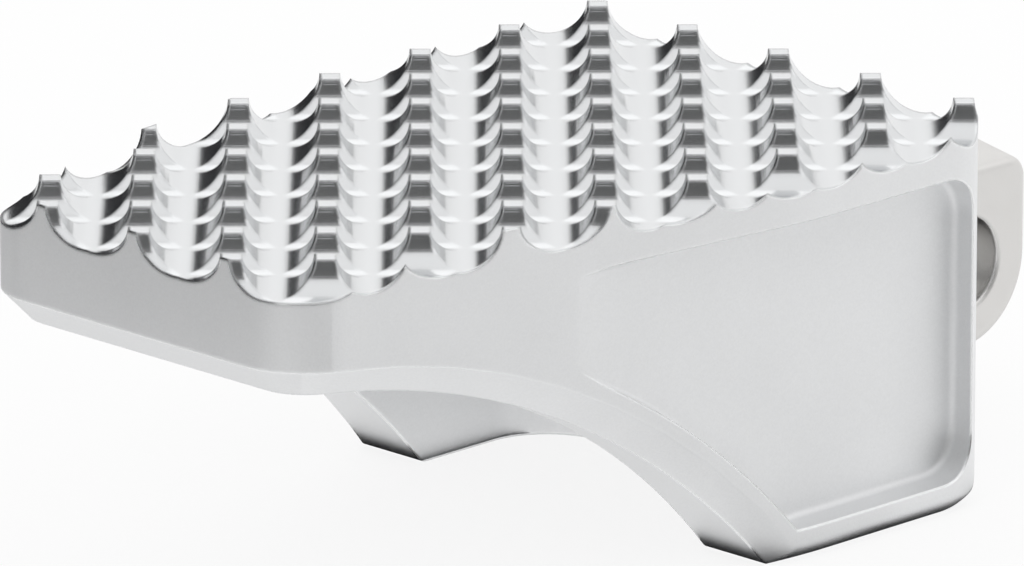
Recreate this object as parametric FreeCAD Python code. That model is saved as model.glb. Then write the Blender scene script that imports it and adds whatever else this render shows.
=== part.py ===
import FreeCAD, Part
import math
import os

# Footpeg of a motorbike, in millimetres.
# The origin is the centre of the pivot bore. +X runs from the tip of the tread to the pivot,
# +Y runs across the peg along the pivot axis, and +Z points up out of the tread.

# Body, seen from above and from the side
body_length = 97.3
tip_width = 46.4
base_width = 62.6
taper_length = 67.5         # tip face to the bend where the sides turn parallel
bend_radius = 60.0
body_depth = 43.1           # tooth tops down to the feet of the two gussets
tip_corner_radius = 7.5
base_corner_radius = 8.0
heel_radius = 9.0           # lower corner of the base end, seen from the side
toe_radius = 1.5            # where the arch turns into the feet
foot_edge_radius = 1.8      # long outer edges of the feet

# Arched underside, centred below the tip face
arch_radius = 81.4
arch_crown_depth = 13.9     # tooth tops down to the highest line of the arch

# Bevel along the lower outer edge: 45 degrees at the tip, steeper towards the feet
bevel_height_tip = 3.05
bevel_height_foot = 3.2
bevel_inset_tip = 3.0
bevel_inset_foot = 1.0
bevel_side_steps = 9
bevel_corner_steps = 7
bevel_margin = 0.5          # share of its width by which the bevel's cutter runs past each edge

# Tread: two sets of round-bottomed grooves cross at right angles and leave square teeth
tooth_pitch = 9.5
tooth_land = 2.2            # side of a tooth's flat top
groove_depth = 3.45
first_row = 0.95            # tip face to the centres of the first row of teeth

# Shallow pocket in each side, with its floor parallel to the centre line
pocket_start = 36.7         # tip face to the line where the floor runs out of the tapered side
pocket_top = 6.45           # tooth tops down to the pocket
pocket_arch_rim = 1.5
pocket_foot_rim = 3.4
pocket_base_rim = 4.4
pocket_corner_radius = 5.0
pocket_floor_radius = 0.7

# Channel between the gussets, open below and towards the tip
channel_width = 42.0
channel_start = 24.0        # tip face to the front wall of the channel
channel_roof = 11.5         # tooth tops down to the roof
channel_corner_radius = 8.0
cross_wall = 15.9           # between the channel and the base end

# Pivot lug: a forged eye with a squared heel, which tapers away from its middle plane
bore_diameter = 10.2
bore_chamfer = 0.3
bore_to_base = 13.7
bore_below_tread = 24.3
eye_radius = 9.4
lug_top = 10.3              # bore axis up to the flat top
lug_corner_radius = 2.4
lug_thickness = 25.0
lug_draft = 1.4             # how far the middle plane stands proud of the side faces
lug_edge_radius = 0.9

# Tenon that locates the lug in the base end
tenon_width = 21.5
tenon_height = 14.0
tenon_length = 3.0
tenon_clearance = 0.1

# Cap screws that hold the lug, from inside the channel
screw_diameter = 6.0
screw_length = 20.0
screw_spacing = 13.0
screw_hole_clearance = 0.3
thread_clearance = 0.05
thread_run_out = 1.0
head_diameter = 10.0
head_height = 6.0
head_chamfer = 0.6
hex_width = 5.0             # across flats of the socket
hex_depth = 3.0
washer_diameter = 11.0
washer_thickness = 1.6
washer_clearance = 0.2

# Cutting bodies stand this far clear of the faces they pass through
overrun = 2.0

# Points this close together count as one place
near = 1e-4

# Places that several pieces share
base_x = -bore_to_base
tip_x = base_x - body_length
top_z = bore_below_tread
foot_z = top_z - body_depth
arch_x = tip_x
arch_z = top_z - arch_crown_depth - arch_radius
wall_x = base_x - cross_wall
seat_x = base_x - tenon_length
toe_x = arch_x + math.sqrt(arch_radius ** 2 - (foot_z - arch_z) ** 2)
bend_x = tip_x + taper_length
taper = math.atan((base_width - tip_width) / 2 / taper_length)
groove_radius = ((tooth_pitch - tooth_land) ** 2 / 4 + groove_depth ** 2) / (2 * groove_depth)

ALONG = FreeCAD.Vector(1, 0, 0)
ACROSS = FreeCAD.Vector(0, 1, 0)
UP = FreeCAD.Vector(0, 0, 1)


def at(x, y, z):
    """Point in the part's frame."""
    return FreeCAD.Vector(x, y, z)


def box(low, high):
    """Box between two opposite corners."""
    size = high - low
    return Part.makeBox(size.x, size.y, size.z, low)


def prism(corners, sweep):
    """Solid swept from a flat outline."""
    return Part.Face(Part.makePolygon(corners + corners[:1])).extrude(sweep)


def rounded_prism(corners, radii, sweep):
    """Solid swept from a flat outline, with each corner rounded to its radius."""
    ends = []
    edges = []
    for i, (corner, radius) in enumerate(zip(corners, radii)):
        back = (corners[i - 1] - corner).normalize()
        ahead = (corners[(i + 1) % len(corners)] - corner).normalize()
        half_angle = back.getAngle(ahead) / 2
        start = corner + back * (radius / math.tan(half_angle))
        end = corner + ahead * (radius / math.tan(half_angle))
        if radius:
            middle = corner + (back + ahead).normalize() * (radius / math.sin(half_angle) - radius)
            edges.append(Part.Arc(start, middle, end).toShape())
        ends.append((start, end))
    for i, (start, _) in enumerate(ends):
        edges.append(Part.makeLine(ends[i - 1][1], start))
    return Part.Face(Part.Wire(Part.__sortEdges__(edges))).extrude(sweep)


def edges_through(shape, **place):
    """Edges with both ends on the given x, y or z."""
    found = []
    for edge in shape.Edges:
        ends = [vertex.Point for vertex in edge.Vertexes]
        if all(abs(getattr(end, axis) - value) < near for end in ends for axis, value in place.items()):
            found.append(edge)
    return found


def running(edges, direction):
    """The edges that start out along a direction, either way."""
    return [edge for edge in edges if abs(edge.tangentAt(edge.FirstParameter).dot(direction)) > 1 - near]


def half_width(x):
    """Half the body's width at a place along it."""
    return min(tip_width / 2 + (x - tip_x) * math.tan(taper), base_width / 2)


def arch_height(x):
    """Height of the arched underside at a place along the body."""
    return arch_z + math.sqrt(arch_radius ** 2 - (x - arch_x) ** 2)


def arch_bar(radius):
    """Round bar across the peg, on the axis of the arch."""
    reach = base_width / 2 + overrun
    return Part.makeCylinder(radius, 2 * reach, at(arch_x, -reach, arch_z), ACROSS)


def tapered_block(base_radius):
    """Block as wide and deep as the body, rounded at its tip corners, side bends and base corners."""
    stations = [tip_x, bend_x, base_x]
    radii = [tip_corner_radius, bend_radius, base_radius]
    near_side = [at(x, -half_width(x), foot_z) for x in stations]
    far_side = [at(x, half_width(x), foot_z) for x in reversed(stations)]
    return rounded_prism(near_side + far_side, radii + radii[::-1], UP * body_depth)


def arch_cutter():
    """Prism that takes out the arch and rounds its end into the feet."""
    low = foot_z - overrun
    start_x = tip_x - overrun
    centre = at(arch_x, 0, arch_z)
    rise = foot_z + toe_radius - arch_z
    toe = at(arch_x + math.sqrt((arch_radius + toe_radius) ** 2 - rise ** 2), 0, foot_z + toe_radius)
    start = at(start_x, 0, arch_height(start_x))
    join = centre + (toe - centre) * (arch_radius / (arch_radius + toe_radius))
    middle_x = (start.x + join.x) / 2
    sole = toe - UP * toe_radius
    bulge = toe + (join + sole - toe * 2).normalize() * toe_radius
    outline = Part.Wire([
        Part.Arc(start, at(middle_x, 0, arch_height(middle_x)), join).toShape(),
        Part.Arc(join, bulge, sole).toShape(),
        Part.makeLine(sole, at(sole.x, 0, low)),
        Part.makeLine(at(sole.x, 0, low), at(start_x, 0, low)),
        Part.makeLine(at(start_x, 0, low), start),
    ])
    prism = Part.Face(outline).extrude(ACROSS * (base_width + 2 * overrun))
    prism.translate(ACROSS * -(base_width / 2 + overrun))
    return prism


def body_blank():
    """Block with its underside arched and its outer edges rounded or bevelled."""
    blank = tapered_block(0)
    blank = blank.makeFillet(heel_radius, edges_through(blank, x=base_x, z=foot_z))
    blank = blank.makeFillet(foot_edge_radius, running(edges_through(blank, x=base_x), UP))
    blank = blank.cut(arch_cutter()).cut(bevel_cutter())
    return blank.common(tapered_block(base_corner_radius))


def bevel_section(x, y, out, height, inset):
    """Triangle that takes off the lower outer edge at one station of the outline."""
    corner = at(x, y, arch_height(x))
    rim = corner + UP * height
    sole = corner - out * inset
    sole.z = arch_height(sole.x)
    past = (rim - sole) * bevel_margin
    apex = corner + (out - UP) * overrun * 2
    return Part.makePolygon([rim + past, sole - past, apex, rim + past])


def bevel_cutter():
    """Wedge that follows the lower outer edge from one foot round the tip to the other."""
    corner_x = tip_x + tip_corner_radius * (1 - math.sin(taper))
    end_x = toe_x + bevel_height_foot + overrun
    sections = []
    for step in range(bevel_side_steps + 1):
        x = end_x + (corner_x - end_x) * step / bevel_side_steps
        share = (x - corner_x) / (toe_x - corner_x)
        steep = math.asin((x - arch_x) / arch_radius)
        height = bevel_height_tip + (bevel_height_foot - bevel_height_tip) * share
        inset = bevel_inset_tip + (bevel_inset_foot - bevel_inset_tip) * min(share, 1)
        out = at(-math.sin(taper), math.cos(taper), 0)
        sections.append((x, half_width(x), out, height / math.cos(steep), inset))
    centre_x = tip_x + tip_corner_radius
    centre_y = half_width(centre_x) - tip_corner_radius / math.cos(taper)
    for step in range(1, bevel_corner_steps + 1):
        turn = math.pi / 2 + taper + (math.pi / 2 - taper) * step / bevel_corner_steps
        out = at(math.cos(turn), math.sin(turn), 0)
        x = centre_x + tip_corner_radius * out.x
        y = centre_y + tip_corner_radius * out.y
        sections.append((x, y, out, bevel_height_tip, bevel_inset_tip))
    mirrored = [(x, -y, at(out.x, -out.y, 0), h, i) for x, y, out, h, i in reversed(sections)]
    return Part.makeLoft([bevel_section(*section) for section in sections + mirrored], True, True)


def side_pocket():
    """Cutter for the pocket in the +Y side."""
    floor_y = half_width(tip_x + pocket_start)
    low = at(tip_x + pocket_start - overrun, floor_y, foot_z + pocket_foot_rim)
    high = at(base_x - pocket_base_rim, base_width / 2 + overrun, top_z - pocket_top)
    cutter = box(low, high)
    cutter = cutter.makeFillet(pocket_corner_radius, running(edges_through(cutter, x=high.x), ACROSS))
    cutter = cutter.cut(arch_bar(arch_radius + bevel_height_foot + pocket_arch_rim))
    return cutter.makeFillet(pocket_floor_radius, edges_through(cutter, y=floor_y))


def channel():
    """Cutter for the channel between the gussets."""
    low = at(tip_x + channel_start, -channel_width / 2, foot_z - overrun)
    high = at(wall_x, channel_width / 2, top_z - channel_roof)
    cutter = box(low, high)
    return cutter.makeFillet(channel_corner_radius, running(cutter.Edges, UP))


def tenon(clearance):
    """Block on the lug's root, or its seat when given a clearance."""
    half = at(0, tenon_width / 2 + clearance, tenon_height / 2 + clearance)
    return box(at(seat_x - clearance, 0, 0) - half, at(base_x + clearance, 0, 0) + half)


def screw_rows():
    """Middle of each screw, across the peg."""
    return {"front": -screw_spacing / 2, "rear": screw_spacing / 2}


def rod(x_start, x_end, y, diameter):
    """Round rod along X at a screw's place."""
    return Part.makeCylinder(diameter / 2, x_end - x_start, at(x_start, y, 0), ALONG)


def grooves(side):
    """All the parallel round-bottomed grooves that cross the tread one way."""
    direction = at(1, side, 0).normalize()
    step = at(1, -side, 0).normalize() * tooth_pitch
    reach = body_length + base_width
    first_tooth = at(tip_x + first_row, 0, top_z - groove_depth + groove_radius)
    ahead = math.ceil(tip_width / 2 / tooth_pitch)
    behind = math.ceil(reach / tooth_pitch)
    cutters = []
    for line in range(-ahead, behind):
        start = first_tooth + step * (line + 0.5) - direction * reach
        cutters.append(Part.makeCylinder(groove_radius, 2 * reach, start, direction))
    return cutters


def peg_body():
    """Milled body: tread on top, two gussets below, pockets in the sides."""
    body = body_blank()
    pocket = side_pocket()
    body = body.cut(pocket).cut(pocket.mirror(at(0, 0, 0), ACROSS))
    body = body.cut(channel())
    body = body.cut(tenon(tenon_clearance))
    for y in screw_rows().values():
        body = body.cut(rod(wall_x - overrun, base_x, y, screw_diameter + 2 * screw_hole_clearance))
    return body.cut(grooves(1)).cut(grooves(-1))


def lug_blank():
    """Squared heel above and round eye below, both tapering away from the middle plane."""
    half = lug_thickness / 2
    proud = eye_radius + lug_draft
    section = [
        at(base_x, -half, lug_top),
        at(base_x, 0, lug_top + lug_draft),
        at(base_x, half, lug_top),
        at(base_x, half, -eye_radius),
        at(base_x, 0, -proud),
        at(base_x, -half, -eye_radius),
    ]
    plan = [
        at(base_x, -half, -proud),
        at(eye_radius, -half, -proud),
        at(proud, 0, -proud),
        at(eye_radius, half, -proud),
        at(base_x, half, -proud),
    ]
    bar = prism(section, ALONG * (proud - base_x))
    bar = bar.common(prism(plan, UP * (proud + lug_top + lug_draft)))
    quarter = box(at(0, -half, -proud), at(proud, half, 0))
    cones = [Part.makeCone(proud, eye_radius, half, at(0, 0, 0), ACROSS * side) for side in (-1, 1)]
    eye = cones[0].fuse(cones[1]).common(quarter)
    return bar.cut(quarter).fuse(eye).removeSplitter()


def pivot_lug():
    """Forged lug with its pivot bore, locating tenon and two tapped holes."""
    half = lug_thickness / 2
    lug = lug_blank()
    low = at(eye_radius - near, 0, lug_top - near)
    crest = [edge for edge in lug.Edges if all(v.X > low.x and v.Z > low.z for v in edge.Vertexes)]
    lug = lug.makeFillet(lug_corner_radius, crest)
    for side in (-half, half):
        rim = [edge for edge in edges_through(lug, y=side) if edge.CenterOfMass.x > base_x + near]
        lug = lug.makeFillet(lug_edge_radius, rim)
    lug = lug.fuse(tenon(0))
    bore = Part.makeCylinder(bore_diameter / 2, lug_thickness, at(0, -half, 0), ACROSS)
    wide = bore_diameter / 2 + bore_chamfer
    flare = Part.makeCone(wide, wide - bore_chamfer, bore_chamfer, at(0, -half, 0), ACROSS)
    lug = lug.cut(bore).cut(flare).cut(flare.mirror(at(0, 0, 0), ACROSS))
    end_x = wall_x - washer_thickness + screw_length + thread_run_out
    for y in screw_rows().values():
        lug = lug.cut(rod(seat_x - overrun, end_x, y, screw_diameter + 2 * thread_clearance))
    return lug.removeSplitter()


def cap_screw(y):
    """Socket head cap screw along X, with its head in the channel."""
    seat = wall_x - washer_thickness
    head = rod(seat - head_height, seat, y, head_diameter)
    head = head.makeChamfer(head_chamfer, edges_through(head, x=seat - head_height))
    screw = head.fuse(rod(seat, seat + screw_length, y, screw_diameter))
    corner = hex_width / math.sqrt(3)
    turns = [math.radians(60 * step) for step in range(6)]
    ring = [at(seat - head_height, y + corner * math.cos(a), corner * math.sin(a)) for a in turns]
    return screw.cut(prism(ring, ALONG * hex_depth)).removeSplitter()


def washer(y):
    """Flat washer between a screw head and the cross wall."""
    ring = rod(wall_x - washer_thickness, wall_x, y, washer_diameter)
    return ring.cut(rod(wall_x - washer_thickness, wall_x, y, screw_diameter + 2 * washer_clearance))


def main():
    """Write one STEP file for each piece."""
    os.makedirs("parts", exist_ok=True)
    pieces = {"peg_body": peg_body(), "pivot_lug": pivot_lug()}
    for name, y in screw_rows().items():
        pieces["lug_screw_" + name] = cap_screw(y)
        pieces["lug_washer_" + name] = washer(y)
    for name, shape in pieces.items():
        shape.exportStep("parts/" + name + ".step")


main()
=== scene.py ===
import math

import bmesh
import bpy
from bpy.props import FloatProperty, FloatVectorProperty, IntProperty, PointerProperty
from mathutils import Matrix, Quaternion, Vector


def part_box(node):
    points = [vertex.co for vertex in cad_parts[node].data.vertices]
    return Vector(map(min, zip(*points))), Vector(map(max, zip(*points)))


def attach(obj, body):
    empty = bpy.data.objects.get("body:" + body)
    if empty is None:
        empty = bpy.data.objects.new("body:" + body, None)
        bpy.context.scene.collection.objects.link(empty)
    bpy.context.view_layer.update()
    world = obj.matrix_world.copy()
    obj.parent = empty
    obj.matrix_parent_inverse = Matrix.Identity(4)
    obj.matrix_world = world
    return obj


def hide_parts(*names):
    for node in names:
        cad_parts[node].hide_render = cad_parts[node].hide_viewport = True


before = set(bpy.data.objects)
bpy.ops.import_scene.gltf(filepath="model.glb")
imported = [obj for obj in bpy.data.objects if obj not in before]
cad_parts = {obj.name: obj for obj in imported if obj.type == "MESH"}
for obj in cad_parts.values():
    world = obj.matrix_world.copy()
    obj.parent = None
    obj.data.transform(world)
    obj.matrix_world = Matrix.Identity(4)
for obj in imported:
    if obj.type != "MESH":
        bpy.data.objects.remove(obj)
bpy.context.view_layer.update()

bl_info = {
    "name": "Footpeg Dresser",
    "version": (1, 0, 0),
    "blender": (4, 5, 0),
    "location": "3D View > Sidebar > Footpeg",
    "description": "Finishes the solids of a motorbike footpeg and sets a plain studio round it",
    "category": "Object",
}

BODY_LOW, BODY_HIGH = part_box("peg_body")
SCREW_WASHERS = {"lug_screw_front": "lug_washer_front", "lug_screw_rear": "lug_washer_rear"}

SENSOR_WIDTH = 36   # mm, the frame for which the lens is given
VIEW_LIMIT = 100    # metres, the farthest that the camera sees
CARD_LIFT = 0.0002  # keeps cards and cloths just clear of the floor
CARD_STEPS = 12     # flat strips in a bent card
EDGE_SAMPLES = 6    # rays that look for an edge
EDGE_START = 0.97   # cosine of the turn at which an edge starts to count as broken
EDGE_FULL = 0.9     # cosine of the turn at which it counts in full


class FootpegTread(bpy.types.PropertyGroup):
    """Where the grooves of the tread lie, so that their finish can follow them."""
    tooth_pitch: FloatProperty(
        name="Tooth Pitch", description="Distance between two parallel grooves",
        default=0.0095, unit="LENGTH", precision=5)
    tooth_land: FloatProperty(
        name="Tooth Land", description="Side of a tooth's flat top",
        default=0.0022, unit="LENGTH", precision=5)
    groove_depth: FloatProperty(
        name="Groove Depth", description="Tooth tops down to the bottom of a groove",
        default=0.00345, unit="LENGTH", precision=5)
    first_row: FloatProperty(
        name="First Row", description="From the tip face to the middle of the first row of teeth",
        default=0.00095, unit="LENGTH", precision=5)
    tolerance: FloatProperty(
        name="Tolerance", description="How far from a groove's true round a point still counts as cut",
        default=0.00012, unit="LENGTH", precision=5)


class FootpegFinish(bpy.types.PropertyGroup):
    """Colours and textures of the pieces."""
    alloy_color: FloatVectorProperty(
        name="Alloy", description="Blasted aluminium of the body",
        default=(0.95, 0.956, 0.962), subtype="COLOR", min=0, max=1)
    alloy_roughness: FloatProperty(
        name="Alloy Roughness", description="Blasted faces",
        default=0.6, subtype="FACTOR", min=0, max=1)
    alloy_spread: FloatProperty(
        name="Alloy Spread", description="How far the roughness of the blasted faces strays",
        default=0.04, subtype="FACTOR", min=0, max=1)
    alloy_speckle: FloatProperty(
        name="Alloy Speckle", description="How much darker the bottoms of the blasted dimples are",
        default=0.08, subtype="FACTOR", min=0, max=1)
    grain_size: FloatProperty(
        name="Grain Size", description="Size of the blasted dimples",
        default=0.00022, unit="LENGTH", precision=5)
    grain_depth: FloatProperty(
        name="Grain Depth", description="Depth of the blasted dimples",
        default=0.000012, unit="LENGTH", precision=6)
    cloud_size: FloatProperty(
        name="Cloud Size", description="Size of the patches in which the roughness strays",
        default=0.0088, unit="LENGTH", precision=4)
    tread_color: FloatVectorProperty(
        name="Tread", description="Cut faces of the grooves and teeth",
        default=(0.74, 0.75, 0.76), subtype="COLOR", min=0, max=1)
    tread_roughness: FloatProperty(
        name="Tread Roughness", description="Cut faces of the tread, and broken edges",
        default=0.21, subtype="FACTOR", min=0, max=1)
    tool_mark: FloatProperty(
        name="Tool Mark Spacing", description="Distance between two cutter lines",
        default=0.0003, unit="LENGTH", precision=5)
    tool_depth: FloatProperty(
        name="Tool Mark Depth", description="Depth of the cutter lines",
        default=0.000014, unit="LENGTH", precision=6)
    edge_softness: FloatProperty(
        name="Edge Softness", description="Radius of the broken edges of the body and the lug",
        default=0.00065, unit="LENGTH", precision=5)
    lug_color: FloatVectorProperty(
        name="Lug", description="Forged steel of the pivot lug",
        default=(0.76, 0.75, 0.735), subtype="COLOR", min=0, max=1)
    lug_roughness: FloatProperty(
        name="Lug Roughness", description="Satin faces of the lug",
        default=0.46, subtype="FACTOR", min=0, max=1)
    lug_spread: FloatProperty(
        name="Lug Spread", description="How far the roughness of the lug strays",
        default=0.05, subtype="FACTOR", min=0, max=1)
    lug_grain: FloatProperty(
        name="Lug Grain", description="Strength of the fine grain on the lug",
        default=0.8, subtype="FACTOR", min=0, max=1)
    skin_size: FloatProperty(
        name="Skin Size", description="Size of the dents in the forged skin",
        default=0.00264, unit="LENGTH", precision=5)
    skin_depth: FloatProperty(
        name="Skin Depth", description="Depth of the dents in the forged skin",
        default=0.000048, unit="LENGTH", precision=6)
    skin_detail: FloatProperty(
        name="Skin Detail", description="How many finer layers the forged skin has", default=3.0, min=0)
    skin_strength: FloatProperty(
        name="Skin Strength", description="Strength of the forged skin",
        default=0.6, subtype="FACTOR", min=0, max=1)
    bore_color: FloatVectorProperty(
        name="Bore", description="Reamed steel inside the pivot bore",
        default=(0.848, 0.842, 0.833), subtype="COLOR", min=0, max=1)
    bore_roughness: FloatProperty(
        name="Bore Roughness", description="Reamed face of the bore",
        default=0.26, subtype="FACTOR", min=0, max=1)
    bore_radius: FloatProperty(
        name="Bore Radius", description="Radius of the pivot bore",
        default=0.0051, unit="LENGTH", precision=4)
    bore_tolerance: FloatProperty(
        name="Bore Tolerance", description="How far from that radius a point still counts as reamed",
        default=0.0001, unit="LENGTH", precision=5)
    screw_color: FloatVectorProperty(
        name="Screws", description="Steel of the cap screws",
        default=(0.42, 0.42, 0.43), subtype="COLOR", min=0, max=1)
    washer_color: FloatVectorProperty(
        name="Washers", description="Steel of the washers",
        default=(0.62, 0.62, 0.63), subtype="COLOR", min=0, max=1)
    steel_roughness: FloatProperty(
        name="Steel Roughness", description="Screws and washers",
        default=0.32, subtype="FACTOR", min=0, max=1)
    steel_spread: FloatProperty(
        name="Steel Spread", description="How far the roughness of screws and washers strays",
        default=0.06, subtype="FACTOR", min=0, max=1)
    steel_softness: FloatProperty(
        name="Steel Softness", description="Radius of the broken edges of screws and washers",
        default=0.000325, unit="LENGTH", precision=6)
    smear_size: FloatProperty(
        name="Smear Size", description="Size of the smears on screws and washers",
        default=0.0022, unit="LENGTH", precision=4)
    turning_strength: FloatProperty(
        name="Turning Strength", description="Strength of the turning marks on screws and washers",
        default=0.7, subtype="FACTOR", min=0, max=1)


class FootpegScrew(bpy.types.PropertyGroup):
    """Sizes of the cap screws, with the knurls that the solids leave out."""
    knurl_count: IntProperty(
        name="Knurl Count", description="Ridges round a head", default=36, min=8)
    knurl_sides: IntProperty(
        name="Knurl Sides", description="Flat strips in each ridge", default=4, min=2)
    knurl_depth: FloatProperty(
        name="Knurl Depth", description="Depth between two ridges",
        default=0.00022, unit="LENGTH", precision=5)
    head_height: FloatProperty(
        name="Head Height", description="Height of a head", default=0.006, unit="LENGTH", precision=4)
    head_chamfer: FloatProperty(
        name="Head Chamfer", description="Bevel round the face of a head",
        default=0.0006, unit="LENGTH", precision=4)
    shank_diameter: FloatProperty(
        name="Shank Diameter", description="Outside of the thread",
        default=0.006, unit="LENGTH", precision=4)
    hex_width: FloatProperty(
        name="Hex Width", description="Socket, across its flats",
        default=0.005, unit="LENGTH", precision=4)
    hex_depth: FloatProperty(
        name="Hex Depth", description="Depth of the socket", default=0.003, unit="LENGTH", precision=4)
    center_share: FloatProperty(
        name="Centre Share", description="Innermost ring of the socket's floor, as a share of the shank",
        default=0.125, subtype="FACTOR", min=0, max=1)


class FootpegStage(bpy.types.PropertyGroup):
    """Camera, lamps, floor, the cards that the metal mirrors and the strips of painted shadow below the
    feet.
    """
    camera_place: FloatVectorProperty(
        name="Camera", description="Place of the camera",
        default=(-1.0762, -1.0096, 0.4379), subtype="TRANSLATION", unit="LENGTH")
    camera_aim: FloatVectorProperty(
        name="Aim", description="Direction in which the camera looks",
        default=(0.68075, 0.67376, -0.28744), subtype="DIRECTION")
    camera_roll: FloatProperty(
        name="Roll", description="Turn of the camera about its own axis",
        default=math.radians(0.057), subtype="ANGLE")
    camera_lens: FloatProperty(
        name="Lens", description="Focal length on a 36 mm wide frame",
        default=504.4, unit="CAMERA", max=2000)
    floor_size: FloatProperty(
        name="Floor Size", description="Side of the floor", default=8.0, unit="LENGTH")
    floor_color: FloatVectorProperty(
        name="Floor", description="Pale floor", default=(0.9, 0.9, 0.9), subtype="COLOR", min=0, max=1)
    shadow_share: FloatProperty(
        name="Shadow Share", description="How much of the floor's look comes from the light on it",
        default=0.15, subtype="FACTOR", min=0, max=1)
    flag_reach: FloatProperty(
        name="Flag Reach", description="Distance of the standing cards from the footpeg",
        default=1.2, unit="LENGTH")
    left_flag: FloatVectorProperty(
        name="Left Flag", description="Where the dark card on the left starts and ends round the footpeg",
        default=(math.radians(54), math.radians(190)), size=2, unit="ROTATION")
    left_height: FloatProperty(
        name="Left Height", description="Height of the dark card on the left",
        default=2.1, unit="LENGTH")
    left_cloth: FloatVectorProperty(
        name="Left Cloth", description="Where the dark cloth on the floor to the left starts and ends",
        default=(math.radians(47), math.radians(190)), size=2, unit="ROTATION")
    left_clear: FloatProperty(
        name="Left Clear", description="Bare floor between the footpeg's middle and the cloth on the left",
        default=0.25, unit="LENGTH")
    front_flag: FloatVectorProperty(
        name="Front Flag", description="Where the grey card in front starts and ends round the footpeg",
        default=(math.radians(206), math.radians(240)), size=2, unit="ROTATION")
    front_height: FloatProperty(
        name="Front Height", description="Height of the grey card in front",
        default=1.7, unit="LENGTH")
    front_clear: FloatProperty(
        name="Front Clear", description="Bare floor between the footpeg's middle and the card in front",
        default=0.4, unit="LENGTH")
    right_flag: FloatVectorProperty(
        name="Right Flag", description="Where the grey card on the right starts and ends round the footpeg",
        default=(math.radians(240), math.radians(299)), size=2, unit="ROTATION")
    right_height: FloatProperty(
        name="Right Height", description="Height of the grey card on the right",
        default=1.2, unit="LENGTH")
    # Dark strips on the floor below the feet, seen only in gloss: painted shadow standing in for the feet's
    # contact shadow
    shadow_strip_length: FloatProperty(
        name="Sole Length", description="Length of the dark strips below the feet",
        default=0.037, unit="LENGTH")
    shadow_strip_width: FloatProperty(
        name="Sole Width", description="Width of the dark strips below the feet",
        default=0.0125, unit="LENGTH")
    shadow_strip_margin: FloatProperty(
        name="Sole Margin", description="How far the strips reach past the sides",
        default=0.001, unit="LENGTH")
    # Also the colour of the painted shadow strips below the feet
    dark_card_and_shadow_color: FloatVectorProperty(
        name="Dark Cards", description="Cards that give the metal something dark to mirror",
        default=(0.03, 0.03, 0.032), subtype="COLOR", min=0, max=1)
    grey_color: FloatVectorProperty(
        name="Grey Cards", description="Cards that hold back the light on the side and the tooth fronts",
        default=(0.13, 0.13, 0.13), subtype="COLOR", min=0, max=1)
    sky_strength: FloatProperty(
        name="Sky Strength", description="Even light from all round", default=1.0, min=0)
    key_power: FloatProperty(
        name="Key Power", description="Large soft lamp above on the right",
        default=1.5, unit="POWER", min=0)
    key_size: FloatProperty(
        name="Key Size", description="Side of that lamp", default=1.0, unit="LENGTH")
    key_place: FloatVectorProperty(
        name="Key Place", description="Where it hangs",
        default=(0.5, -0.9, 1.1), subtype="TRANSLATION", unit="LENGTH")
    fill_power: FloatProperty(
        name="Fill Power", description="Soft lamp behind", default=0.6, unit="POWER", min=0)
    fill_size: FloatProperty(
        name="Fill Size", description="Side of that lamp", default=0.8, unit="LENGTH")
    fill_place: FloatVectorProperty(
        name="Fill Place", description="Where it hangs",
        default=(0.6, 0.9, 0.9), subtype="TRANSLATION", unit="LENGTH")


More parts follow.
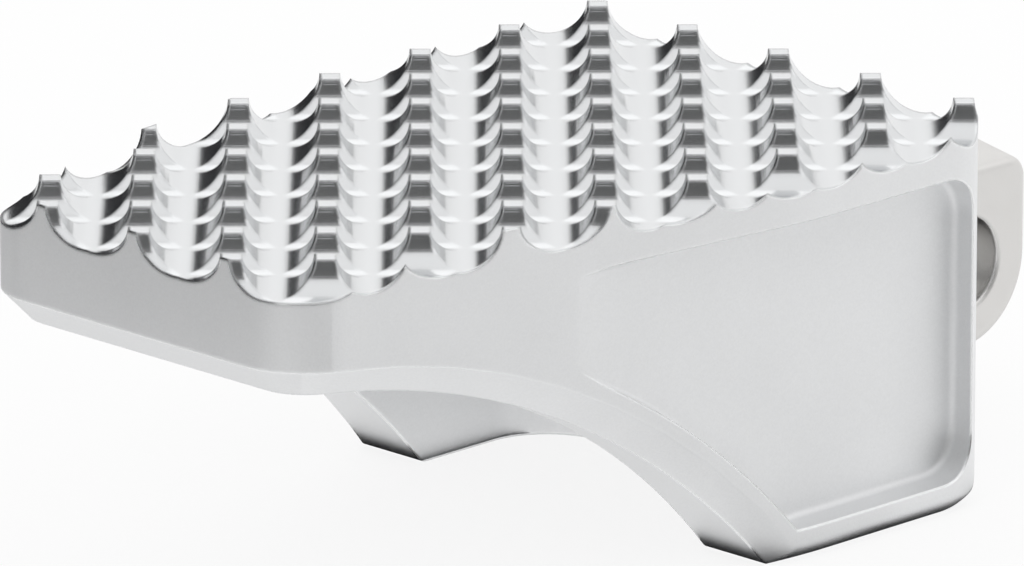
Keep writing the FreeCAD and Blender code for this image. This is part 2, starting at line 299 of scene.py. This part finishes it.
class NodeDesk:
    """Lays shader nodes for one material and wires them together."""

    def __init__(self, name):
        self.material = bpy.data.materials.new(name)
        self.material.use_nodes = True
        self.tree = self.material.node_tree
        self.shader = self.tree.nodes["Principled BSDF"]

    def node(self, kind, inputs=None, **settings):
        """Adds a node, with its settings, and its inputs given as values or as other sockets."""
        made = self.tree.nodes.new(kind)
        for name, value in settings.items():
            setattr(made, name, value)
        for key, value in (inputs or {}).items():
            self.feed(made.inputs[key], value)
        return made

    def feed(self, socket, value):
        """Gives a socket a constant or a link."""
        if isinstance(value, bpy.types.NodeSocket):
            self.tree.links.new(value, socket)
        else:
            socket.default_value = value

    def math(self, operation, *values):
        """One sum on numbers or sockets."""
        return self.node("ShaderNodeMath", dict(enumerate(values)), operation=operation).outputs[0]

    def length(self, first, second):
        """Distance from two offsets at right angles."""
        squares = [self.math("MULTIPLY", offset, offset) for offset in (first, second)]
        return self.math("SQRT", self.math("ADD", *squares))

    def place(self):
        """The shaded point in the part's frame, and its x, y and z."""
        coordinates = self.node("ShaderNodeTexCoord").outputs["Object"]
        split = self.node("ShaderNodeSeparateXYZ", {"Vector": coordinates})
        return coordinates, split.outputs["X"], split.outputs["Y"], split.outputs["Z"]

    def noise(self, coordinates, size, detail=2.0):
        """Cloudy texture whose features are about one size across."""
        inputs = {"Vector": coordinates, "Scale": 1 / size, "Detail": detail}
        return self.node("ShaderNodeTexNoise", inputs).outputs["Fac"]

    def lines(self, along, spacing):
        """Uneven lines across one direction."""
        inputs = {"W": along, "Scale": 1 / spacing}
        return self.node("ShaderNodeTexNoise", inputs, noise_dimensions="1D").outputs["Fac"]

    def spread(self, factor, middle, reach):
        """Turns a 0 to 1 factor into a value up to some reach from a middle one."""
        inputs = {"Value": factor, "To Min": middle - reach, "To Max": middle + reach}
        return self.node("ShaderNodeMapRange", inputs).outputs["Result"]

    def mix(self, factor, low, high):
        """Goes from one number to another."""
        return self.node("ShaderNodeMix", {"Factor": factor, "A": low, "B": high}).outputs["Result"]

    def blend(self, factor, low, high):
        """Goes from one colour to another."""
        low, high = [end if isinstance(end, bpy.types.NodeSocket) else (*end, 1) for end in (low, high)]
        inputs = {0: factor, 6: low, 7: high}
        return self.node("ShaderNodeMix", inputs, data_type="RGBA").outputs[2]

    def soft_edges(self, radius):
        """Surface direction with every sharp edge broken."""
        return self.node("ShaderNodeBevel", {"Radius": radius}, samples=EDGE_SAMPLES).outputs["Normal"]

    def broken_edges(self, normal):
        """1 on the broken edges, where the softened direction leaves that of the face, 0 elsewhere."""
        face = self.node("ShaderNodeNewGeometry").outputs["True Normal"]
        turn = self.node("ShaderNodeVectorMath", {0: normal, 1: face}, operation="DOT_PRODUCT")
        inputs = {"Value": turn.outputs["Value"], "From Min": EDGE_START, "From Max": EDGE_FULL}
        return self.node("ShaderNodeMapRange", inputs).outputs["Result"]

    def bump(self, height, depth, strength, normal):
        """Raises the surface by a texture."""
        inputs = {"Height": height, "Distance": depth, "Strength": strength, "Normal": normal}
        return self.node("ShaderNodeBump", inputs).outputs["Normal"]

    def metal(self, color, roughness, normal):
        """Sets the shader up as bare metal."""
        self.feed(self.shader.inputs["Base Color"], color)
        self.shader.inputs["Metallic"].default_value = 1
        self.feed(self.shader.inputs["Roughness"], roughness)
        self.feed(self.shader.inputs["Normal"], normal)
        return self.material


def tread_mask(desk, tread, x, y, z):
    """1 on the faces that the grooves cut and on the tooth tops, 0 elsewhere."""
    half = (tread.tooth_pitch - tread.tooth_land) / 2
    radius = (half ** 2 + tread.groove_depth ** 2) / (2 * tread.groove_depth)
    diagonal = math.sqrt(0.5)
    along = desk.math("SUBTRACT", x, BODY_LOW[0] + tread.first_row)
    depth = desk.math("SUBTRACT", z, BODY_HIGH[2] - tread.groove_depth + radius)
    cuts = []
    for operation in ("ADD", "SUBTRACT"):
        across = desk.math("MULTIPLY", desk.math(operation, along, y), diagonal)
        in_groove = desk.math("WRAP", across, tread.tooth_pitch, 0.0)
        offset = desk.math("SUBTRACT", in_groove, tread.tooth_pitch / 2)
        cuts.append(desk.math("COMPARE", desk.length(offset, depth), radius, tread.tolerance))
    lands = desk.math("COMPARE", z, BODY_HIGH[2], tread.tolerance)
    return desk.math("MAXIMUM", desk.math("MAXIMUM", *cuts), lands)


def blasted_alloy(finish, tread):
    """Satin blasted aluminium, with the tread left as the cutter made it."""
    desk = NodeDesk("Blasted Alloy")
    coordinates, x, y, z = desk.place()
    cut = tread_mask(desk, tread, x, y, z)
    grain = desk.noise(coordinates, finish.grain_size)
    cloud = desk.noise(coordinates, finish.cloud_size)
    tool_lines = desk.lines(z, finish.tool_mark)
    normal = desk.soft_edges(finish.edge_softness)
    bright = desk.math("MAXIMUM", cut, desk.broken_edges(normal))
    blasted = desk.math("SUBTRACT", 1.0, bright)
    normal = desk.bump(grain, finish.grain_depth, blasted, normal)
    normal = desk.bump(tool_lines, finish.tool_depth, cut, normal)
    satin = desk.spread(cloud, finish.alloy_roughness, finish.alloy_spread)
    roughness = desk.mix(bright, satin, finish.tread_roughness)
    dimple = [(1 - finish.alloy_speckle) * channel for channel in finish.alloy_color]
    alloy = desk.blend(grain, dimple, finish.alloy_color)
    return desk.metal(desk.blend(cut, alloy, finish.tread_color), roughness, normal)


def forged_steel(finish):
    """Satin forged steel with a faint skin, bright where the bore is reamed."""
    desk = NodeDesk("Forged Steel")
    coordinates, x, _, z = desk.place()
    reamed = desk.math("COMPARE", desk.length(x, z), finish.bore_radius, finish.bore_tolerance)
    skin = desk.noise(coordinates, finish.skin_size, finish.skin_detail)
    grain = desk.noise(coordinates, finish.grain_size)
    normal = desk.soft_edges(finish.edge_softness)
    normal = desk.bump(skin, finish.skin_depth, finish.skin_strength, normal)
    normal = desk.bump(grain, finish.grain_depth, finish.lug_grain, normal)
    satin = desk.spread(skin, finish.lug_roughness, finish.lug_spread)
    roughness = desk.mix(reamed, satin, finish.bore_roughness)
    color = desk.blend(reamed, finish.lug_color, finish.bore_color)
    return desk.metal(color, roughness, normal)


def plain_steel(name, color, finish):
    """Bright steel with faint turning marks round the screw axis."""
    desk = NodeDesk(name)
    coordinates, x, _, _ = desk.place()
    turning = desk.lines(x, finish.tool_mark)
    normal = desk.soft_edges(finish.steel_softness)
    normal = desk.bump(turning, finish.tool_depth, finish.turning_strength, normal)
    smears = desk.noise(coordinates, finish.smear_size)
    roughness = desk.spread(smears, finish.steel_roughness, finish.steel_spread)
    return desk.metal((*color, 1), roughness, normal)


def dress(node, material):
    """Gives a solid its material."""
    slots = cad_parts[node].data.materials
    slots.clear()
    slots.append(material)


class FOOTPEG_OT_body(bpy.types.Operator):
    """Finish the body: blasted outside, bright cutter marks in the tread"""
    bl_idname = "footpeg.body"
    bl_label = "Finish Body"

    def execute(self, context):
        scene = context.scene
        dress("peg_body", blasted_alloy(scene.footpeg_finish, scene.footpeg_tread))
        return {"FINISHED"}


class FOOTPEG_OT_lug(bpy.types.Operator):
    """Finish the pivot lug as satin forged steel with a reamed bore"""
    bl_idname = "footpeg.lug"
    bl_label = "Finish Lug"

    def execute(self, context):
        dress("pivot_lug", forged_steel(context.scene.footpeg_finish))
        return {"FINISHED"}


def hex_reach(turn, flats):
    """Distance from the middle of a hexagon to its side, at an angle."""
    third = math.pi / 3
    return flats / 2 / math.cos((turn + third / 2) % third - third / 2)


def screw_rings(screw, low, high, seat):
    """Places along the screw, each with the function that gives its radius at an angle."""
    head = (high[1] - low[1]) / 2
    face = seat - screw.head_height
    shank = screw.shank_diameter / 2
    chamfer = screw.head_chamfer

    def knurl(turn):
        return head - screw.knurl_depth * (0.5 + 0.5 * math.cos(turn * screw.knurl_count))

    def socket(turn):
        return hex_reach(turn, screw.hex_width)

    return [
        (face + screw.hex_depth, lambda turn: shank * screw.center_share),
        (face + screw.hex_depth, socket),
        (face, socket),
        (face, lambda turn: head - chamfer),
        (face + chamfer, knurl),
        (seat - chamfer / 2, knurl),
        (seat, lambda turn: head - chamfer / 2),
        (seat, lambda turn: shank),
        (high[0] - chamfer, lambda turn: shank),
        (high[0], lambda turn: shank - chamfer),
    ]


def turned_mesh(name, rings, middle, sides):
    """Closed mesh through rings that stand across X."""
    mesh = bmesh.new()
    turns = [2 * math.pi * step / sides for step in range(sides)]
    loops = []
    for x, radius in rings:
        loops.append([mesh.verts.new((
            x, middle[0] + radius(turn) * math.cos(turn), middle[1] + radius(turn) * math.sin(turn)))
            for turn in turns])
    for near, far in zip(loops, loops[1:]):
        for step in range(sides):
            after = (step + 1) % sides
            mesh.faces.new((near[step], near[after], far[after], far[step]))
    mesh.faces.new(reversed(loops[-1]))
    mesh.faces.new(loops[0])
    bmesh.ops.recalc_face_normals(mesh, faces=mesh.faces)
    data = bpy.data.meshes.new(name)
    mesh.to_mesh(data)
    mesh.free()
    return data


class FOOTPEG_OT_screws(bpy.types.Operator):
    """Build the two cap screws with knurled heads and hexagon sockets"""
    bl_idname = "footpeg.screws"
    bl_label = "Build Screws"

    def execute(self, context):
        finish = context.scene.footpeg_finish
        screw = context.scene.footpeg_screw
        steel = plain_steel("Screw Steel", finish.screw_color, finish)
        for node, washer in SCREW_WASHERS.items():
            low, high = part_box(node)
            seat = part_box(washer)[0][0]
            middle = ((low[1] + high[1]) / 2, (low[2] + high[2]) / 2)
            rings = screw_rings(screw, low, high, seat)
            name = node + "_knurled"
            data = turned_mesh(name, rings, middle, screw.knurl_sides * screw.knurl_count)
            data.materials.append(steel)
            piece = bpy.data.objects.new(name, data)
            context.scene.collection.objects.link(piece)
            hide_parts(node)
            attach(piece, "root")
        return {"FINISHED"}


class FOOTPEG_OT_washers(bpy.types.Operator):
    """Finish the two washers as bright steel"""
    bl_idname = "footpeg.washers"
    bl_label = "Finish Washers"

    def execute(self, context):
        finish = context.scene.footpeg_finish
        steel = plain_steel("Washer Steel", finish.washer_color, finish)
        for washer in SCREW_WASHERS.values():
            dress(washer, steel)
        return {"FINISHED"}


def background_rays(tree):
    """1 for rays that should meet a white background: those of the camera, gloss and glass."""
    path = tree.nodes.new("ShaderNodeLightPath")
    shown = path.outputs["Is Camera Ray"]
    for name in ("Is Glossy Ray", "Is Transmission Ray"):
        either = tree.nodes.new("ShaderNodeMath")
        either.operation = "MAXIMUM"
        tree.links.new(shown, either.inputs[0])
        tree.links.new(path.outputs[name], either.inputs[1])
        shown = either.outputs[0]
    return shown


def floor_material(stage):
    """Pale floor that shows white and keeps a soft shadow."""
    material = bpy.data.materials.new("Pale Floor")
    material.use_nodes = True
    tree = material.node_tree
    tree.nodes.clear()
    lit = tree.nodes.new("ShaderNodeBsdfDiffuse")
    lit.inputs["Color"].default_value = (*stage.floor_color, 1)
    white = tree.nodes.new("ShaderNodeEmission")
    blend = tree.nodes.new("ShaderNodeMixShader")
    share = tree.nodes.new("ShaderNodeMath")
    share.operation = "MULTIPLY"
    tree.links.new(background_rays(tree), share.inputs[0])
    share.inputs[1].default_value = 1 - stage.shadow_share
    tree.links.new(share.outputs[0], blend.inputs["Fac"])
    tree.links.new(lit.outputs[0], blend.inputs[1])
    tree.links.new(white.outputs[0], blend.inputs[2])
    out = tree.nodes.new("ShaderNodeOutputMaterial")
    tree.links.new(blend.outputs[0], out.inputs["Surface"])
    return material


def white_world(stage):
    """Even light all round, white where it is seen."""
    world = bpy.data.worlds.new("White Studio")
    world.use_nodes = True
    tree = world.node_tree
    backdrop = tree.nodes["Background"]
    backdrop.inputs["Color"].default_value = (1, 1, 1, 1)
    strength = tree.nodes.new("ShaderNodeMapRange")
    strength.inputs["To Min"].default_value = stage.sky_strength
    strength.inputs["To Max"].default_value = 1
    tree.links.new(background_rays(tree), strength.inputs["Value"])
    tree.links.new(strength.outputs["Result"], backdrop.inputs["Strength"])
    return world


def flat_card(name, color):
    """Cloth without any gloss."""
    material = bpy.data.materials.new(name)
    material.use_nodes = True
    shader = material.node_tree.nodes["Principled BSDF"]
    shader.inputs["Base Color"].default_value = (*color, 1)
    shader.inputs["Roughness"].default_value = 1
    shader.inputs["Specular IOR Level"].default_value = 0
    return material


def sheet(name, points, faces, material):
    """Thin sheet of the stage."""
    data = bpy.data.meshes.new(name)
    data.from_pydata(points, [], faces)
    data.materials.append(material)
    made = bpy.data.objects.new(name, data)
    bpy.context.scene.collection.objects.link(made)
    return made


def floor_sheet(stage):
    """Square floor level with the feet."""
    half = stage.floor_size / 2
    corners = [(-half, -half), (half, -half), (half, half), (-half, half)]
    points = [(x, y, BODY_LOW[2]) for x, y in corners]
    return sheet("floor", points, [(0, 1, 2, 3)], floor_material(stage))


def card(name, points, faces, material):
    """Card that only gloss can see."""
    made = sheet(name, points, faces, material)
    made.visible_camera = False
    made.visible_diffuse = False
    made.visible_shadow = False
    return made


def painted_shadow_card(name, stage, side, material):
    """Dark strip on the floor below one foot: painted shadow that only gloss sees."""
    height = BODY_LOW[2] + CARD_LIFT
    rear = BODY_HIGH[0]
    front = rear - stage.shadow_strip_length
    outer = side * (BODY_HIGH[1] + stage.shadow_strip_margin)
    inner = outer - side * stage.shadow_strip_width
    corners = [(front, inner), (rear, inner), (rear, outer), (front, outer)]
    return card(name, [(x, y, height) for x, y in corners], [(0, 1, 2, 3)], material)


def standing_card(name, profile, turns, middle, material):
    """Card bent round the footpeg, with a profile of distances and heights."""
    points = []
    for step in range(CARD_STEPS + 1):
        turn = turns[0] + (turns[1] - turns[0]) * step / CARD_STEPS
        for reach, height in profile:
            points.append((
                middle[0] + reach * math.cos(turn),
                middle[1] + reach * math.sin(turn),
                BODY_LOW[2] + height))
    rows = len(profile)
    starts = [step * rows + row for step in range(CARD_STEPS) for row in range(rows - 1)]
    faces = [(start, start + rows, start + rows + 1, start + 1) for start in starts]
    return card(name, points, faces, material)


def flags(stage, middle):
    """What the metal mirrors: dark on the left, painted shadow below the feet, grey in front and on the
    right.
    """
    dark = flat_card("Dark Card", stage.dark_card_and_shadow_color)
    grey = flat_card("Grey Card", stage.grey_color)
    foot = (stage.flag_reach, CARD_LIFT)
    left = [foot, (stage.flag_reach, stage.left_height)]
    cloth = [(stage.left_clear, CARD_LIFT), foot]
    front = [(stage.front_clear, CARD_LIFT), foot, (stage.flag_reach, stage.front_height)]
    right = [foot, (stage.flag_reach, stage.right_height)]
    return [
        standing_card("left_flag", left, stage.left_flag, middle, dark),
        standing_card("left_cloth", cloth, stage.left_cloth, middle, dark),
        standing_card("front_flag", front, stage.front_flag, middle, grey),
        standing_card("right_flag", right, stage.right_flag, middle, grey),
        # Painted shadow: dark strips below the feet that the metal mirrors as their contact shadow
        painted_shadow_card("near_painted_shadow", stage, -1, dark),
        painted_shadow_card("far_painted_shadow", stage, 1, dark),
    ]


def soft_lamp(name, power, size, place, aim):
    """Square softbox aimed at a point."""
    data = bpy.data.lights.new(name, "AREA")
    data.energy = power
    data.size = size
    lamp = bpy.data.objects.new(name, data)
    bpy.context.scene.collection.objects.link(lamp)
    lamp.location = place
    lamp.rotation_euler = (Vector(aim) - Vector(place)).to_track_quat("-Z", "Y").to_euler()
    lamp.visible_camera = False


def photo_camera(scene, stage):
    """Camera at the photograph's viewing angle."""
    data = bpy.data.cameras.new("Camera")
    data.sensor_width = SENSOR_WIDTH
    data.sensor_fit = "HORIZONTAL"
    data.lens = stage.camera_lens
    data.clip_end = VIEW_LIMIT
    camera = bpy.data.objects.new("Camera", data)
    scene.collection.objects.link(camera)
    camera.location = stage.camera_place
    turn = Vector(stage.camera_aim).to_track_quat("-Z", "Y")
    camera.rotation_euler = (turn @ Quaternion((0, 0, 1), stage.camera_roll)).to_euler()
    scene.camera = camera


class FOOTPEG_OT_stage(bpy.types.Operator):
    """Set the camera, the floor, the cards, the lamps and the background"""
    bl_idname = "footpeg.stage"
    bl_label = "Set Stage"

    def execute(self, context):
        scene = context.scene
        stage = scene.footpeg_stage
        middle = (BODY_LOW[0] / 2, 0, 0)
        photo_camera(scene, stage)
        floor = floor_sheet(stage)
        soft_lamp("key", stage.key_power, stage.key_size, stage.key_place, middle)
        soft_lamp("fill", stage.fill_power, stage.fill_size, stage.fill_place, middle)
        scene.world = white_world(stage)
        scene.view_settings.view_transform = "Standard"
        flags(stage, middle)
        return {"FINISHED"}


class FOOTPEG_PT_dresser(bpy.types.Panel):
    """Lists the steps in the order in which they run"""
    bl_idname = "FOOTPEG_PT_dresser"
    bl_label = "Footpeg"
    bl_space_type = "VIEW_3D"
    bl_region_type = "UI"
    bl_category = "Footpeg"

    def draw(self, context):
        for step in STEPS:
            self.layout.operator(step.bl_idname)
        for name, group in GROUPS.items():
            box = self.layout.box()
            for value in group.__annotations__:
                box.prop(getattr(context.scene, name), value)


GROUPS = {
    "footpeg_tread": FootpegTread,
    "footpeg_finish": FootpegFinish,
    "footpeg_screw": FootpegScrew,
    "footpeg_stage": FootpegStage,
}
STEPS = (FOOTPEG_OT_body, FOOTPEG_OT_lug, FOOTPEG_OT_screws, FOOTPEG_OT_washers, FOOTPEG_OT_stage)


def register():
    """Make the groups, the steps and the panel known."""
    for name, group in GROUPS.items():
        bpy.utils.register_class(group)
        setattr(bpy.types.Scene, name, PointerProperty(type=group))
    for step in STEPS:
        bpy.utils.register_class(step)
    bpy.utils.register_class(FOOTPEG_PT_dresser)


def unregister():
    """Take them away again."""
    bpy.utils.unregister_class(FOOTPEG_PT_dresser)
    for step in reversed(STEPS):
        bpy.utils.unregister_class(step)
    for name, group in reversed(GROUPS.items()):
        delattr(bpy.types.Scene, name)
        bpy.utils.unregister_class(group)


def main():
    """Dress the footpeg and set the stage."""
    register()
    bpy.ops.footpeg.body()
    bpy.ops.footpeg.lug()
    bpy.ops.footpeg.screws()
    bpy.ops.footpeg.washers()
    bpy.ops.footpeg.stage()


if __name__ == "__main__":
    main()
